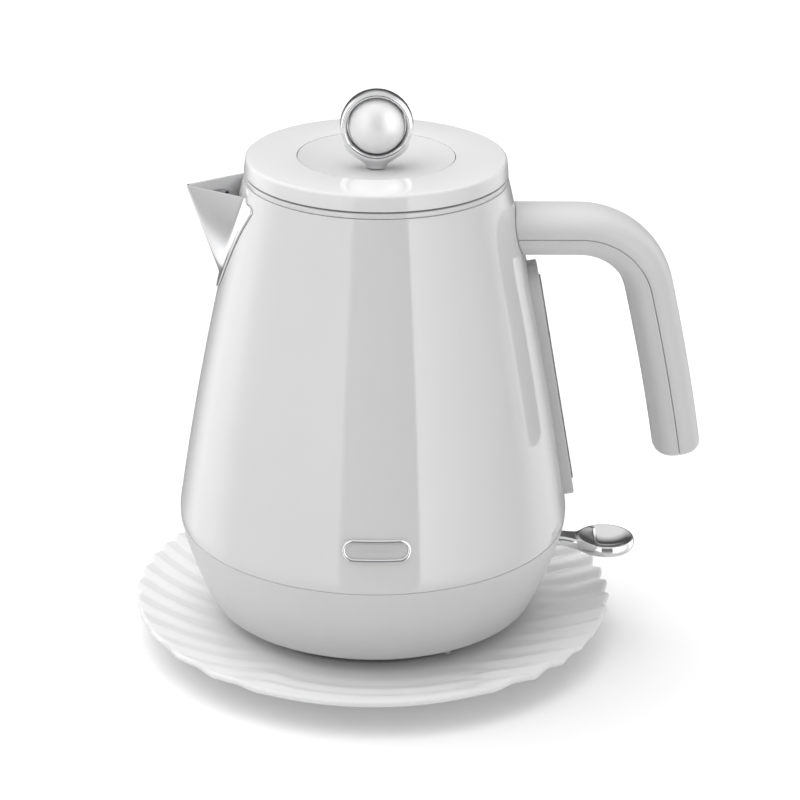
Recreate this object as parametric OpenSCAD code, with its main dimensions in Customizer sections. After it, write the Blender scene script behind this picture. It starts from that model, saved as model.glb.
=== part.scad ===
// Electric jug kettle with a V-shaped spout, standing on a rippled power base.
// +Z is up, +X points to the handle and -Y to the badge. The origin is on the
// kettle's axis, at the underside of the base's feet. Heights named *_h are
// measured up from the seam between the body and the bottom housing.

/* [Body] */
// Height of the body's seam above the table
seam_z = 54; // [54:0.1:54.4]
// Radius of the body at the seam
seam_r = 83; // [82.6:0.1:83.4]
// Radius of the body at its top edge
top_r = 54.8; // [54.6:0.1:55]
// Height of the body shell above the seam
body_h = 151; // [150.8:0.1:151.2]
// How far the side bows out from a straight cone
bulge = 2.1; // [1.9:0.1:2.3]
// Sheet thickness of the body shell
wall = 1; // [0.8:0.1:1.2]

/* [Lid] */
// Outer radius of the lid
lid_r = 54.6; // [54.4:0.1:54.8]
// Radius of the dished disc in the lid
disc_r = 32.5; // [31:0.5:34]
// Depth of the dish at its centre
dish_depth = 5.4; // [4.5:0.1:6]
// Outer radius of the knob's ring
knob_r = 15.1; // [14.5:0.1:15.5]
// Radius of the knob's ball
ball_r = 11.8; // [11.4:0.1:12]

/* [Handle] */
// Width of the handle across the grip
grip_w = 31; // [28:1:34]
// Thickness of the handle
grip_t = 20; // [18:1:22]
// Bend radius of the handle's centre line
bend_r = 31; // [30:0.5:32]
// Wall thickness of the handle's covers
cover_t = 2.5; // [2:0.1:3]

/* [Water gauge] */
// Width of the gauge's housing
gauge_w = 22; // [20:1:24]
// Width of the clear window
window_w = 12; // [11:0.5:13]

/* [Switch lever] */
// Radius of the lever's round head
head_r = 12.5; // [12:0.1:13]
// Radius of the lever's pivot pin
pivot_r = 1.5; // [1.3:0.1:1.7]

/* [Power base] */
// Mean radius of the base plate
plate_r = 103; // [102:0.2:106]
// Height of the ripples
ripple_h = 1.2; // [0.8:0.1:1.4]
// Distance between two ripples
ripple_pitch = 12.6; // [12:0.2:14]
// Radius of the cord outlet's bore
cord_r = 3.4; // [3.2:0.1:3.6]

/* [Hidden] */
$fn = 96;
eps = 0.01;

painted_white = [0.86, 0.86, 0.86];
satin_white = [0.82, 0.82, 0.82];
plastic_grey = [0.62, 0.62, 0.63];
chrome = [0.75, 0.76, 0.78];
steel = [0.66, 0.67, 0.69];
silicone = [0.8, 0.8, 0.78];
black_plastic = [0.12, 0.12, 0.12];
brass = [0.78, 0.62, 0.32];
clear_plastic = [0.6, 0.65, 0.7, 0.5];

// ---------- Curves shared by several parts ----------

// The body's lower edge curls in over this height, by this much
curl_h = 6;
curl = 1;
function squared(v) = v * v;
function smooth(a, b, v) = let (t = min(1, max(0, (v - a) / (b - a)))) t * t * (3 - 2 * t);
function body_r(h) =
    let (t = h / body_h, c = max(0, 1 - max(0, h) / curl_h))
    seam_r + curl + (top_r - seam_r - curl) * t + 4 * bulge * t * (1 - t) - curl * c * c;
// Heights at which the body's outline has a point
body_steps = [0, 2, 4, 6, for (i = [1:18]) 6 + (body_h - 6) * i / 18];

function steps(h0, h1, n) = [for (i = [0:n]) h0 + (h1 - h0) * i / n];

// Points of a circular arc in the plane
function arc(c, r, a0, a1, n = 12) =
    [for (i = [0:n]) let (a = a0 + (a1 - a0) * i / n) c + r * [cos(a), sin(a)]];

// Everything inside the body's outer surface, grown by off
module body_solid(off = 0) {
    outline = [for (h = body_steps) [body_r(h) + off, h]];
    translate([0, 0, seam_z])
        rotate_extrude($fn = 240)
            polygon(concat([[0, -2]], [[body_r(0) + off, -2]], outline,
                [[body_r(body_h) + off, body_h + 2], [0, body_h + 2]]));
}

// A skin that follows the body between two offsets, through a list of heights
module body_skin(off0, off1, hs) {
    n = len(hs) - 1;
    translate([0, 0, seam_z])
        rotate_extrude($fn = 240)
            polygon(concat([for (h = hs) [body_r(h) + off1, h]],
                [for (i = [n:-1:0]) [body_r(hs[i]) + off0, hs[i]]]));
}

// A closed solid through a list of rings that all have the same number of points.
// Seen from the far end of the list, each ring's points run anticlockwise.
module skin(rings) {
    n = len(rings) - 1;
    m = len(rings[0]);
    polyhedron(
        points = [for (r = rings) each r],
        faces = concat([[for (j = [0:m - 1]) j]], [[for (j = [m - 1:-1:0]) n * m + j]],
            [for (i = [0:n - 1], j = [0:m - 1])
                let (a = i * m + j, b = i * m + (j + 1) % m)
                each [[a, a + m, b], [b, a + m, b + m]]]),
        convexity = 6);
}

module stadium(l, w) {
    for (s = [-1, 1])
        translate([s * (l - w) / 2, 0]) circle(d = w);
    square([l - w, w], center = true);
}

// A 2D outline in (Y, Z), pushed along X between x0 and x1
module along_x(x0, x1) {
    translate([x0, 0, 0])
        rotate([90, 0, 90])
            linear_extrude(x1 - x0)
                children();
}

// A 2D outline in (X, Z), pushed along Y from -half to half
module across_y(half) {
    rotate([90, 0, 0])
        linear_extrude(2 * half, center = true)
            children();
}

// ---------- Spout ----------

rim_h = 147;
tip_x = -78.4;
keel_x = -65.2;
keel_h = 109.2;
sheet = 0.9;
fold_top_y = 17.3;
fold_round = 9.5;
flange_top_y = 26;
flange_low_h = 103.4;

function keel_at(h) = keel_x + (tip_x - keel_x) * (h - keel_h) / (rim_h - keel_h);
// Half width of the beak where it meets the body: a round bottom, then a straight side
function fold_y(h) =
    let (u = (h - keel_h) / (rim_h - keel_h))
    min(1, sqrt(max(0, u) * 7)) * (fold_round + (fold_top_y - fold_round) * pow(max(0, u), 0.8));

// One level of the beak: two straight sides that meet at a rounded keel
function beak_ring(h, inset) =
    let (k = keel_at(h) + inset * 1.6, y = max(0.3, fold_y(h) - inset * 1.25),
         x = -sqrt(squared(body_r(h) + 0.3) - y * y), n = 2)
    concat([[-40, y, h], [x, y, h]],
        [for (i = [n:-1:-n]) let (q = y * 0.07 * i / n) [k + squared(q) * 0.45, q, h]],
        [[x, -y, h], [-40, -y, h]]);

module beak_solid(inset, h_top) {
    n = 16;
    h0 = keel_h + 0.15 + inset * 2;
    rings = [for (i = [0:n]) beak_ring(h0 + (h_top - h0) * squared(i / n), inset)];
    translate([0, 0, seam_z]) skin(rings);
}

// Outline of the flange that lies on the body, in (Y, height)
module flange_outline() {
    low = 11.5;
    translate([0, seam_z])
        hull() {
            translate([0, flange_low_h + low]) circle(r = low, $fn = 32);
            translate([-flange_top_y, rim_h - 4]) square([2 * flange_top_y, 2.4]);
        }
}

// Outline of the opening through the body behind the spout
module throat_outline(grow = 0) {
    translate([0, seam_z])
        polygon([[-5 - grow, 116 - grow], [5 + grow, 116 - grow],
            [11 + grow, 141 + grow], [-11 - grow, 141 + grow]]);
}

module spout() {
    color(chrome) {
        difference() {
            beak_solid(0, rim_h);
            beak_solid(sheet, rim_h + 1);
            body_solid(0);
        }
        difference() {
            intersection() {
                body_skin(0.02, 0.7, steps(100, rim_h - 1, 8));
                along_x(-90, -30) flange_outline();
            }
            beak_solid(sheet, rim_h + 1);
        }
    }
}

module filter_frame() {
    color(satin_white)
        difference() {
            intersection() {
                body_skin(-wall - 2.4, -wall - 0.1, steps(111, 143.4, 6));
                along_x(-90, -30) throat_outline(4);
            }
            along_x(-90, -30) throat_outline(0);
        }
}

module filter_mesh() {
    color(steel)
        difference() {
            intersection() {
                body_skin(-wall - 1.6, -wall - 1.2, steps(112, 143, 6));
                along_x(-90, -30) throat_outline(-0.05);
            }
            for (row = [0:6], col = [-3:3])
                if (abs(col * 2.6) < 3 + row * 1.1)
                    translate([-80, col * 2.6 - 0.8, seam_z + 118 + row * 3.2])
                        cube([40, 1.6, 2]);
        }
}

// ---------- Body ----------

screw_h = [125.5, 132.5];
port_z = 38;
badge_h = 19;

module body_shell() {
    color(painted_white)
        difference() {
            body_skin(-wall, 0, body_steps);
            along_x(-90, -30) throat_outline(0);
            for (h = screw_h)
                translate([40, 0, seam_z + h]) rotate([0, 90, 0]) cylinder(r = 2.1, h = 40);
            gauge_place()
                for (s = [-1, 1])
                    translate([-20, 0, s * port_z]) rotate([0, 90, 0]) cylinder(r = 2, h = 20);
        }
}

// The collar closes the body's top edge; its neck guides the lid's plug
collar_in = 50;
collar_h0 = 151.05;
collar_h1 = 153.3;

module collar_ring() {
    neck = body_r(body_h) - wall - 0.3;
    color(painted_white)
        translate([0, 0, seam_z])
            rotate_extrude()
                polygon([[collar_in, 144.5], [neck, 144.5], [neck, collar_h0],
                    [lid_r - 0.3, collar_h0], [lid_r, collar_h0 + 0.3], [lid_r, collar_h1 - 0.4],
                    [lid_r - 0.4, collar_h1], [collar_in, collar_h1]]);
}

badge_l = 28.2;
badge_w = 9.5;
badge_rim = 1.5;

module badge_frame() {
    color(chrome)
        intersection() {
            body_skin(0, 1.1, steps(badge_h - 8, badge_h + 8, 4));
            translate([0, -70, seam_z + badge_h])
                rotate([90, 0, 0])
                    linear_extrude(30)
                        difference() {
                            stadium(badge_l, badge_w);
                            stadium(badge_l - 2 * badge_rim, badge_w - 2 * badge_rim);
                        }
        }
}

module badge_plate() {
    color(satin_white)
        intersection() {
            body_skin(0, 0.5, steps(badge_h - 8, badge_h + 8, 4));
            translate([0, -70, seam_z + badge_h])
                rotate([90, 0, 0])
                    linear_extrude(30)
                        stadium(badge_l - 2 * badge_rim, badge_w - 2 * badge_rim);
        }
}

// ---------- Lid ----------

lid_h0 = 153.8;
lid_h1 = 160.5;
disc_seat_h = 158.2;
cover_under_h = disc_seat_h - 1.6;
disc_t = 2;
plug_r = 49.4;
plug_h0 = 141;
knob_h = 173.3;
knob_depth = 9;

module lid_cover() {
    round = 1.3;
    color(painted_white)
        translate([0, 0, seam_z])
            rotate_extrude()
                polygon(concat(
                    [[lid_r - 2.2, lid_h0], [lid_r, lid_h0]],
                    arc([lid_r - 0.7 - round, lid_h1 - round], round, 5, 90, 6),
                    [[disc_r + 0.25, lid_h1], [disc_r + 0.25, disc_seat_h], [disc_r - 2, disc_seat_h],
                     [disc_r - 2, cover_under_h], [lid_r - 2.8, cover_under_h]]));
}

function dish_h(r) = lid_h1 - 0.1 - dish_depth * (1 - squared(r / disc_r));

module lid_disc() {
    n = 12;
    rs = [for (i = [0:n]) disc_r * i / n];
    color(satin_white)
        translate([0, 0, seam_z])
            difference() {
                rotate_extrude()
                    polygon(concat([for (r = rs) [r, dish_h(r)]],
                        [[disc_r, disc_seat_h], [disc_r - 2.1, disc_seat_h]],
                        [for (i = [n - 1:-1:0]) [rs[i], dish_h(rs[i]) - disc_t]]));
                cylinder(r = 2.1, h = 200);
            }
}

// Cup under the lid that closes the body's mouth
module lid_plug() {
    floor_t = 2;
    color(plastic_grey)
        translate([0, 0, seam_z])
            difference() {
                rotate_extrude()
                    polygon([[0, plug_h0], [plug_r, plug_h0],
                        [plug_r, 147], [plug_r - 1, 147], [plug_r - 1, 149], [plug_r, 149],
                        [plug_r, collar_h1 + 0.1], [lid_r - 2.9, collar_h1 + 0.1],
                        [lid_r - 2.9, collar_h1 + 2], [plug_r, collar_h1 + 2],
                        [plug_r, cover_under_h], [plug_r - 2.5, cover_under_h],
                        [plug_r - 2.5, plug_h0 + floor_t], [0, plug_h0 + floor_t]]);
                cylinder(r = 2.1, h = 200);
            }
}

module lid_seal() {
    color(silicone)
        translate([0, 0, seam_z])
            rotate_extrude()
                polygon([[plug_r - 1, 147.1], [collar_in - 0.1, 147.6],
                    [collar_in - 0.1, 148.4], [plug_r - 1, 148.9]]);
}

module knob_ring() {
    flare = 6.5;
    base_r = 4.2;
    side = arc([base_r + flare, dish_h(base_r) + flare - 1.5], flare, 255, 145, 8);
    color(chrome)
        translate([0, 0, seam_z]) {
            translate([0, 0, knob_h])
                rotate([90, 0, 0])
                    rotate_extrude()
                        polygon([for (a = [-90:15:90])
                            [ball_r + (knob_r - ball_r) * cos(a), knob_depth / 2 * sin(a)]]);
            difference() {
                intersection() {
                    across_y(3.9)
                        polygon(concat(
                            side,
                            [[11.6, knob_h - 9], [-11.6, knob_h - 9]],
                            [for (i = [len(side) - 1:-1:0]) [-side[i][0], side[i][1]]]));
                    translate([0, 0, dish_h(0) + 0.3]) cylinder(r = 15, h = 20);
                }
                translate([0, 0, knob_h])
                    rotate([90, 0, 0]) cylinder(r = ball_r + 0.5, h = 20, center = true);
                cylinder(r = 1.6, h = dish_h(0) + 5);
            }
        }
}

module knob_ball() {
    half = 9;
    band = 2.5;
    dome = half - band / 2;
    color(chrome)
        translate([0, 0, seam_z + knob_h])
            rotate([90, 0, 0])
                rotate_extrude()
                    polygon(concat([[0, -half]],
                        [for (a = [10:10:90]) [ball_r * sin(a), -band / 2 - dome * cos(a)]],
                        [for (a = [90:-10:10]) [ball_r * sin(a), band / 2 + dome * cos(a)]],
                        [[0, half]]));
}

module knob_screw() {
    color(steel)
        translate([0, 0, seam_z]) {
            translate([0, 0, dish_h(0) - disc_t - 2.2]) cylinder(r = 4, h = 2.2);
            translate([0, 0, dish_h(0) - disc_t - eps]) cylinder(r = 1.5, h = disc_t + 4.5);
        }
}

// ---------- Handle ----------

arm_h = 129;
bend_x = 84.8;
bend_end = 14;
leg_r = 1000;
leg_end = 9.7;
parting = 0.2;
bend_c = [bend_x, arm_h - bend_r];
leg_c = bend_c + (bend_r - leg_r) * [cos(bend_end), sin(bend_end)];

// Points of a rounded oval between two angles
function oval(a, b, a0, a1, n, p = 2.35) =
    [for (i = [0:n - 1]) let (t = a0 + (a1 - a0) * i / n, c = cos(t), s = sin(t))
        [a * sign(c) * pow(abs(c), 2 / p), b * sign(s) * pow(abs(s), 2 / p)]];

// Stations along the handle: [x, height, direction away from the grip's inside]
function handle_stations(x0, last) = concat(
    [[x0, arm_h, 90]],
    [for (i = [0:10]) let (a = 90 - (90 - bend_end) * i / 10, q = bend_c + bend_r * [cos(a), sin(a)])
        [q[0], q[1], a]],
    [for (i = [1:5])
        let (a = bend_end - (bend_end - last) * i / 5, q = leg_c + leg_r * [cos(a), sin(a)])
        [q[0], q[1], a]]);

module handle_sweep(section, x0, last) {
    translate([0, 0, seam_z])
        skin([for (s = handle_stations(x0, last))
            [for (i = [len(section) - 1:-1:0]) let (q = section[i])
                [s[0] + q[0] * cos(s[2]), q[1], s[1] + q[0] * sin(s[2])]]]);
}

cap_angle = 0.15;

// One half of the grip, closed at its lower end and cut to the body at the top
module handle_half(side) {
    a = grip_t / 2;
    b = grip_w / 2;
    half = side > 0
        ? concat(oval(a, b, -90, 90, 16), [[0, b]])
        : concat([for (q = oval(a, b, 90, 270, 16)) [q[0] - parting, q[1]]], [[-parting, -b]]);
    difference() {
        handle_sweep(half, 50, leg_end);
        handle_sweep(oval(a - cover_t, b - cover_t, 0, 360, 28), 45, leg_end + cap_angle);
        body_solid(0.05);
    }
}

grip_screw_x = [72, 84];
pilot_r = 1.3;

module handle_outer() {
    color(satin_white)
        difference() {
            union() {
                handle_half(1);
                for (x = grip_screw_x)
                    translate([x, 0, seam_z + arm_h + 2]) cylinder(r = 3.2, h = grip_t / 2 - 4);
            }
            for (x = grip_screw_x)
                translate([x, 0, seam_z + arm_h - 5]) cylinder(r = pilot_r, h = 11);
        }
}

module handle_inner() {
    z0 = seam_z + arm_h - grip_t / 2;
    color(satin_white)
        difference() {
            handle_half(-1);
            for (x = grip_screw_x) {
                translate([x, 0, z0 - 1]) cylinder(r = 1.7, h = 10);
                translate([x, 0, z0 - 1]) cylinder(r = 3, h = 2.2);
            }
        }
}

module grip_screws() {
    z0 = seam_z + arm_h - grip_t / 2;
    color(steel)
        for (x = grip_screw_x)
            translate([x, 0, 0]) {
                translate([0, 0, z0 + 0.2]) cylinder(r = 2.8, h = 1);
                translate([0, 0, z0 + 1.2 - eps]) cylinder(r = 1.2, h = 14.5);
            }
}

// Steel strip inside the upper arm, with a foot that lies on the body
module handle_bracket() {
    z = seam_z + arm_h;
    color(steel)
        difference() {
            union() {
                intersection() {
                    body_skin(0.05, 2.2, steps(screw_h[0] - 2.9, screw_h[1] + 2.9, 3));
                    translate([50, -7, z - 20]) cube([40, 14, 40]);
                }
                difference() {
                    translate([55, -5, z - 1.5]) cube([13, 10, 3]);
                    body_solid(0.1);
                }
            }
            for (h = screw_h)
                translate([40, 0, seam_z + h]) rotate([0, 90, 0]) cylinder(r = 2.1, h = 40);
        }
}

module handle_screws() {
    color(steel)
        for (h = screw_h)
            translate([0, 0, seam_z + h]) {
                translate([body_r(h) - wall - 3.2, 0, 0]) rotate([0, 90, 0]) cylinder(r = 3.3, h = 2);
                translate([body_r(h) - wall - 1.3, 0, 0]) rotate([0, 90, 0]) cylinder(r = 1.9, h = 6.5);
            }
}

// ---------- Water gauge ----------

gauge_tilt = 10.46;
gauge_mid = [77.15, 61.75];
gauge_l = 107.7;
window_l = 94.7;
window_in = -2.4;
window_out = 0.7;

// Local frame of the gauge: X leaves the body, Z runs up along the gauge
module gauge_place() {
    translate([gauge_mid[0], 0, seam_z + gauge_mid[1]])
        rotate([0, -gauge_tilt, 0])
            children();
}

module gauge_bar(l, w, x0, x1) {
    along_x(x0, x1) rotate(90) stadium(l, w);
}

module gauge_housing() {
    chamfer = 0.8;
    color(satin_white)
        difference() {
            gauge_place()
                difference() {
                    union() {
                        gauge_bar(gauge_l, gauge_w, -9, -chamfer);
                        gauge_bar(gauge_l - chamfer, gauge_w - chamfer, -1, 0);
                    }
                    gauge_bar(window_l + 0.2, window_w + 0.2, -10, 1);
                }
            body_solid(0);
        }
}

module gauge_window() {
    color(clear_plastic)
        gauge_place()
            difference() {
                gauge_bar(window_l, window_w, window_in, window_out);
                gauge_bar(window_l - 6, window_w - 5, window_in - 1, window_out - 1.4);
            }
}

module gauge_seal() {
    color(silicone)
        difference() {
            gauge_place()
                difference() {
                    gauge_bar(window_l - 0.4, window_w - 0.4, -9, window_in - 0.02);
                    for (s = [-1, 1])
                        translate([-12, 0, s * port_z]) rotate([0, 90, 0]) cylinder(r = 2, h = 20);
                }
            body_solid(0);
        }
}

// ---------- Bottom housing ----------

housing_t = 2.2;
lip_in = 59;
lip_t = 3.5;
bowl_depth = 43;
corner_depth = 36;
corner_round = 12.7;
corner_angle = 26.6;
function bowl_r(d, off = 0) = seam_r + 0.2 - 0.219 * d - 0.0039 * d * d - off;
corner_c = [bowl_r(corner_depth) - corner_round * cos(corner_angle),
            -corner_depth + corner_round * sin(corner_angle)];

ear_y = 6;
pivot = [70, 40];
slot_half = 6;

// Turns a cylinder across the switch lever's pivot
module across_pivot() {
    translate([pivot[0], 0, pivot[1]])
        rotate([90, 0, 0])
            children();
}

module bottom_housing() {
    n = 9;
    outer = concat([for (i = [0:n]) let (d = corner_depth * i / n) [bowl_r(d), -d]],
        arc(corner_c, corner_round, -corner_angle, -83, 8));
    inner = concat(arc(corner_c, corner_round - housing_t, -60, -corner_angle, 5),
        [for (i = [n:-1:2]) let (d = corner_depth * i / n) [bowl_r(d, housing_t), -d]]);
    color(satin_white)
        difference() {
            union() {
                translate([0, 0, seam_z])
                    rotate_extrude()
                        polygon(concat(outer,
                            [[lip_in, -bowl_depth], [lip_in, -bowl_depth + lip_t],
                             [64.5, -bowl_depth + lip_t]],
                            inner,
                            [[77, -6], [77, 0.4], [seam_r - wall - 0.2, 0.4],
                             [seam_r - wall - 0.2, 0]]));
                // ears that carry the lever's pin
                for (s = [-1, 1])
                    intersection() {
                        translate([64, s * (ear_y + 1.5) - 1.5, pivot[1] - 5]) cube([16, 3, 10]);
                        translate([0, 0, seam_z])
                            rotate_extrude()
                                polygon(concat([[0, -25]],
                                    [for (d = [25, 20, 15, 10, 5]) [bowl_r(d, 1), -d]],
                                    [[0, -5]]));
                    }
            }
            // slot that the lever comes out of
            along_x(71, 90)
                translate([0, pivot[1] + 0.5]) square([2 * slot_half, 9], center = true);
            across_pivot() cylinder(r = pivot_r, h = 30, center = true);
            cover_screw_places() {
                translate([0, 0, -1]) cylinder(r = 1.4, h = 10);
                translate([0, 0, -1]) cylinder(r = 2, h = 3.4);
            }
        }
}

cover_screw_r = 61.4;
module cover_screw_places() {
    for (a = [60, 180, 300])
        rotate([0, 0, a]) translate([cover_screw_r, 0, seam_z - bowl_depth]) children();
}

deck_top = 19.8;
recess_z = 20;
recess_r = 58;

// Underside of the kettle: a recess that fits over the base's deck
module bottom_cover() {
    z0 = seam_z - bowl_depth + lip_t;
    color(satin_white)
        difference() {
            union() {
                rotate_extrude()
                    polygon([[19.7, recess_z], [recess_r, recess_z], [recess_r, z0], [64, z0],
                        [64, z0 + 2], [recess_r + 2, z0 + 2], [recess_r + 2, recess_z + 2],
                        [19.7, recess_z + 2]]);
                cover_screw_places()
                    translate([0, 0, lip_t + 1]) cylinder(r = 2.4, h = 8);
            }
            cover_screw_places()
                cylinder(r = 1.2, h = 11.5);
        }
}

module cover_screws() {
    color(steel)
        cover_screw_places() {
            translate([0, 0, 1.1]) cylinder(r = 1.85, h = 1.2);
            translate([0, 0, 2.2]) cylinder(r = 1.15, h = 8.8);
        }
}

socket_top = 38;
contact_top = 33.5;

module kettle_socket() {
    color(black_plastic)
        rotate_extrude()
            polygon([[16.6, 23.1], [19.5, 23.1], [19.5, recess_z + 2.05], [26, recess_z + 2.05],
                [26, 25], [22, 25], [22, socket_top], [0, socket_top], [0, contact_top],
                [16.6, contact_top]]);
}

module tube(r0, r1, z0, z1) {
    translate([0, 0, z0])
        difference() {
            cylinder(r = r1, h = z1 - z0);
            translate([0, 0, -1]) cylinder(r = r0, h = z1 - z0 + 2);
        }
}

module kettle_contacts() {
    color(brass) {
        translate([0, 0, 21]) cylinder(r = 1.6, h = contact_top - 21);
        tube(7.4, 8.2, 23, contact_top);
        tube(12, 12.8, 25, contact_top);
    }
}

// ---------- Heating plate and control ----------

plate_z = seam_z + 1.4;
plate_edge = 79.4;
tube_at = [51.7, 18.8];
tube_r = 4;
element_r = 42;

module heater_plate() {
    color(steel)
        difference() {
            translate([0, 0, plate_z]) cylinder(r = plate_edge, h = 1.2);
            translate([tube_at[0], tube_at[1], 0]) cylinder(r = tube_r + 0.05, h = 100);
        }
}

// Cast ring under the plate with the two cold ends of the heating element
module heater_element() {
    gap = 60;
    color([0.7, 0.7, 0.7]) {
        rotate([0, 0, gap / 2])
            rotate_extrude(angle = 360 - gap)
                polygon([[element_r - 5, plate_z], [element_r - 3.5, plate_z - 7],
                    [element_r + 3.5, plate_z - 7], [element_r + 5, plate_z]]);
        for (s = [-1, 1])
            rotate([0, 0, s * (gap / 2 + 4)])
                translate([element_r, 0, plate_z - 14]) cylinder(r = 2, h = 7 + eps);
    }
}

module heater_seal() {
    r1 = seam_r - wall - 0.1;
    color(silicone)
        rotate_extrude()
            polygon([[78.4, seam_z + 0.45], [r1, seam_z + 0.45], [r1, plate_z + 2], [78.4, plate_z + 2],
                [78.4, plate_z + 1.2], [plate_edge, plate_z + 1.2], [plate_edge, plate_z],
                [78.4, plate_z]]);
}

snout_r = 12;

module bimetal_disc() {
    color(brass)
        translate([0, 0, plate_z - 0.9]) cylinder(r = 10, h = 0.5);
}

trip_x = 38;
trip_z = pivot[1] + 2.4;

// Turns a cylinder across the trip lever's pivot
module across_trip() {
    translate([trip_x, 0, trip_z])
        rotate([90, 0, 0])
            children();
}

// Control: a body that holds the bimetal disc and the trip lever
module control_body() {
    color(black_plastic)
        difference() {
            union() {
                translate([-22, -17, socket_top]) cube([66, 34, 8.4]);
                translate([0, 0, socket_top + 8])
                    cylinder(r = snout_r, h = plate_z - 0.95 - socket_top - 8);
            }
            translate([31, -4, socket_top - 1]) cube([20, 8, 12]);
            across_trip() cylinder(r = pivot_r + 0.05, h = 17, center = true);
        }
}

module trip_lever() {
    tongue_end = 57;
    color(plastic_grey) {
        translate([trip_x - 2.2, -3.4, trip_z - 1.3]) cube([tongue_end - trip_x + 2.2, 6.8, 2.5]);
        across_trip() cylinder(r = 2.4, h = 6.8, center = true);
        across_trip() cylinder(r = pivot_r, h = 16, center = true);
    }
}

module steam_tube() {
    color(plastic_grey)
        translate([tube_at[0], tube_at[1], 0])
            difference() {
                cylinder(r = tube_r, h = seam_z + 126);
                translate([0, 0, -1]) cylinder(r = tube_r - 1.1, h = seam_z + 130);
                translate([-10, -10, -1]) cube([20, 20, 47]);
            }
}

// ---------- Switch lever ----------

head = [101.8, 38.8];
head_t = 6.6;

module switch_lever() {
    dish_r = 9.6;
    color(chrome)
        difference() {
            union() {
                translate([head[0], 0, head[1]])
                    rotate_extrude()
                        polygon(concat([[0, -head_t / 2]], [[head_r - 5, -head_t / 2 + 0.4]],
                            arc([head_r - 2.6, 0], 2.6, -75, 75, 8),
                            [[dish_r, 2.2], [dish_r * 0.75, 0.6], [dish_r * 0.4, -0.2], [0, -0.5]]));
                // neck between the hub and the head
                intersection() {
                    across_y(8)
                        polygon([[pivot[0], 38], [81, 38], [88, 36.3], [95, 35.9], [95, 40.9],
                            [90, 41.6], [84, 42.2], [76, 42], [pivot[0], 42]]);
                    translate([0, 0, 30])
                        linear_extrude(20)
                            polygon([[pivot[0], -4.5], [82, -4.2], [88, -5], [94, -8], [94, 8],
                                [88, 5], [82, 4.2], [pivot[0], 4.5]]);
                }
                across_pivot() cylinder(r = 3.6, h = 11.6, center = true);
                // tail that lifts the control's trip lever
                translate([53, -3.2, pivot[1] - 1.8]) cube([17, 6.4, 2.5]);
            }
            across_pivot() cylinder(r = pivot_r + 0.05, h = 20, center = true);
        }
}

module lever_pin() {
    color(steel)
        across_pivot() cylinder(r = pivot_r, h = 2 * (ear_y + 3), center = true);
}

// ---------- Power base ----------

floor_z = 10.2;
floor_t = 2;
rim_z = 16.6;
rim_t = 2.9;
floor_r = 68;
hole_r = 59;

// The left ripples fan out, and fade round to the smooth front
function fan_bend(x, y) = -0.006 * max(0, y + 100) * max(0, -x - 62);
function side_share(x, y) =
    let (c = x / max(1, norm([x, y])))
    (0.8 + 0.2 * max(-1, min(1, 3 * c))) * (y > 0 ? 1 : smooth(0.3, 0.7, abs(c)));
// Two shallow folds run along the front rim
function front_fold(x, y) =
    let (r = norm([x, y]), c = x / max(1, r))
    y > 0 ? 0 : 0.4 * (1 - smooth(0.35, 0.75, abs(c))) * cos(360 * (r - 0.07 * asin(c) - 86) / 11);
function ripple(x, y) =
    let (p = 360 * (y + 8.5 + fan_bend(x, y)) / ripple_pitch)
    side_share(x, y) * (cos(p) - 0.35 * sin(2 * p)) + front_fold(x, y);
function plate_top(r, a) =
    let (rise = squared(max(0, r - floor_r) / (plate_r - floor_r)))
    floor_z + (rim_z - floor_z) * rise
        + ripple_h * smooth(66, 90, r) * ripple(r * cos(a), r * sin(a));
// The rim steps in and out where the ripples run off it sideways
function plate_edge_r(a) =
    plate_r + 0.7 * abs(cos(a)) * ripple(plate_r * cos(a), plate_r * sin(a));

module base_plate() {
    n = 144;
    steps = [0, 0.15, 0.3, 0.45, 0.6, 0.75, 0.9, 1];
    m = len(steps);
    function ring_r(k, a) = hole_r + (plate_edge_r(a) - hole_r) * steps[k];
    top = [for (k = [0:m - 1], i = [0:n - 1]) let (a = 360 * i / n, r = ring_r(k, a))
        [r * cos(a), r * sin(a), plate_top(r, a)]];
    under_r = [plate_r - 1.5, floor_r + 6, hole_r];
    under_z = [rim_z - rim_t, floor_z - floor_t + 0.2, floor_z - floor_t];
    under = [for (k = [0:2], i = [0:n - 1]) let (a = 360 * i / n,
            lift = k == 0 ? ripple_h * ripple(plate_r * cos(a), plate_r * sin(a)) : 0,
            grow = k == 0 ? plate_edge_r(a) - plate_r : 0)
        [(under_r[k] + grow) * cos(a), (under_r[k] + grow) * sin(a), under_z[k] + lift]];
    rings = m + 3;
    color(painted_white)
        polyhedron(
            points = concat(top, under),
            faces = [for (k = [0:rings - 1], i = [0:n - 1])
                let (k2 = (k + 1) % rings, j = (i + 1) % n)
                each [[k * n + i, k * n + j, k2 * n + i], [k2 * n + i, k * n + j, k2 * n + j]]],
            convexity = 6);
}

deck_r = 56;
boss_r = 40;
post_r = 16;

// Raised centre of the base, which the kettle's recess fits over
module base_deck() {
    color(satin_white)
        difference() {
            union() {
                rotate_extrude()
                    polygon([[post_r + 0.1, deck_top - 2], [deck_r - 2, deck_top - 2],
                        [deck_r - 2, floor_z - floor_t], [hole_r - 0.1, floor_z - floor_t],
                        [hole_r - 0.1, floor_z], [deck_r, floor_z], [deck_r, deck_top - 1],
                        [deck_r - 1, deck_top], [post_r + 0.1, deck_top]]);
                for (a = [45:90:315])
                    rotate([0, 0, a])
                        translate([boss_r, 0, 3.2]) cylinder(r = 4, h = deck_top - 4);
            }
            for (a = [45:90:315])
                rotate([0, 0, a])
                    translate([boss_r, 0, 3]) cylinder(r = pilot_r, h = 12);
        }
}

cover_z = 1.2;
cover_top = 3.2;
skirt_top = floor_z - floor_t;
tongue_y = 88;
gland_z = 5.6;
gland_r = 4.1;

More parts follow.
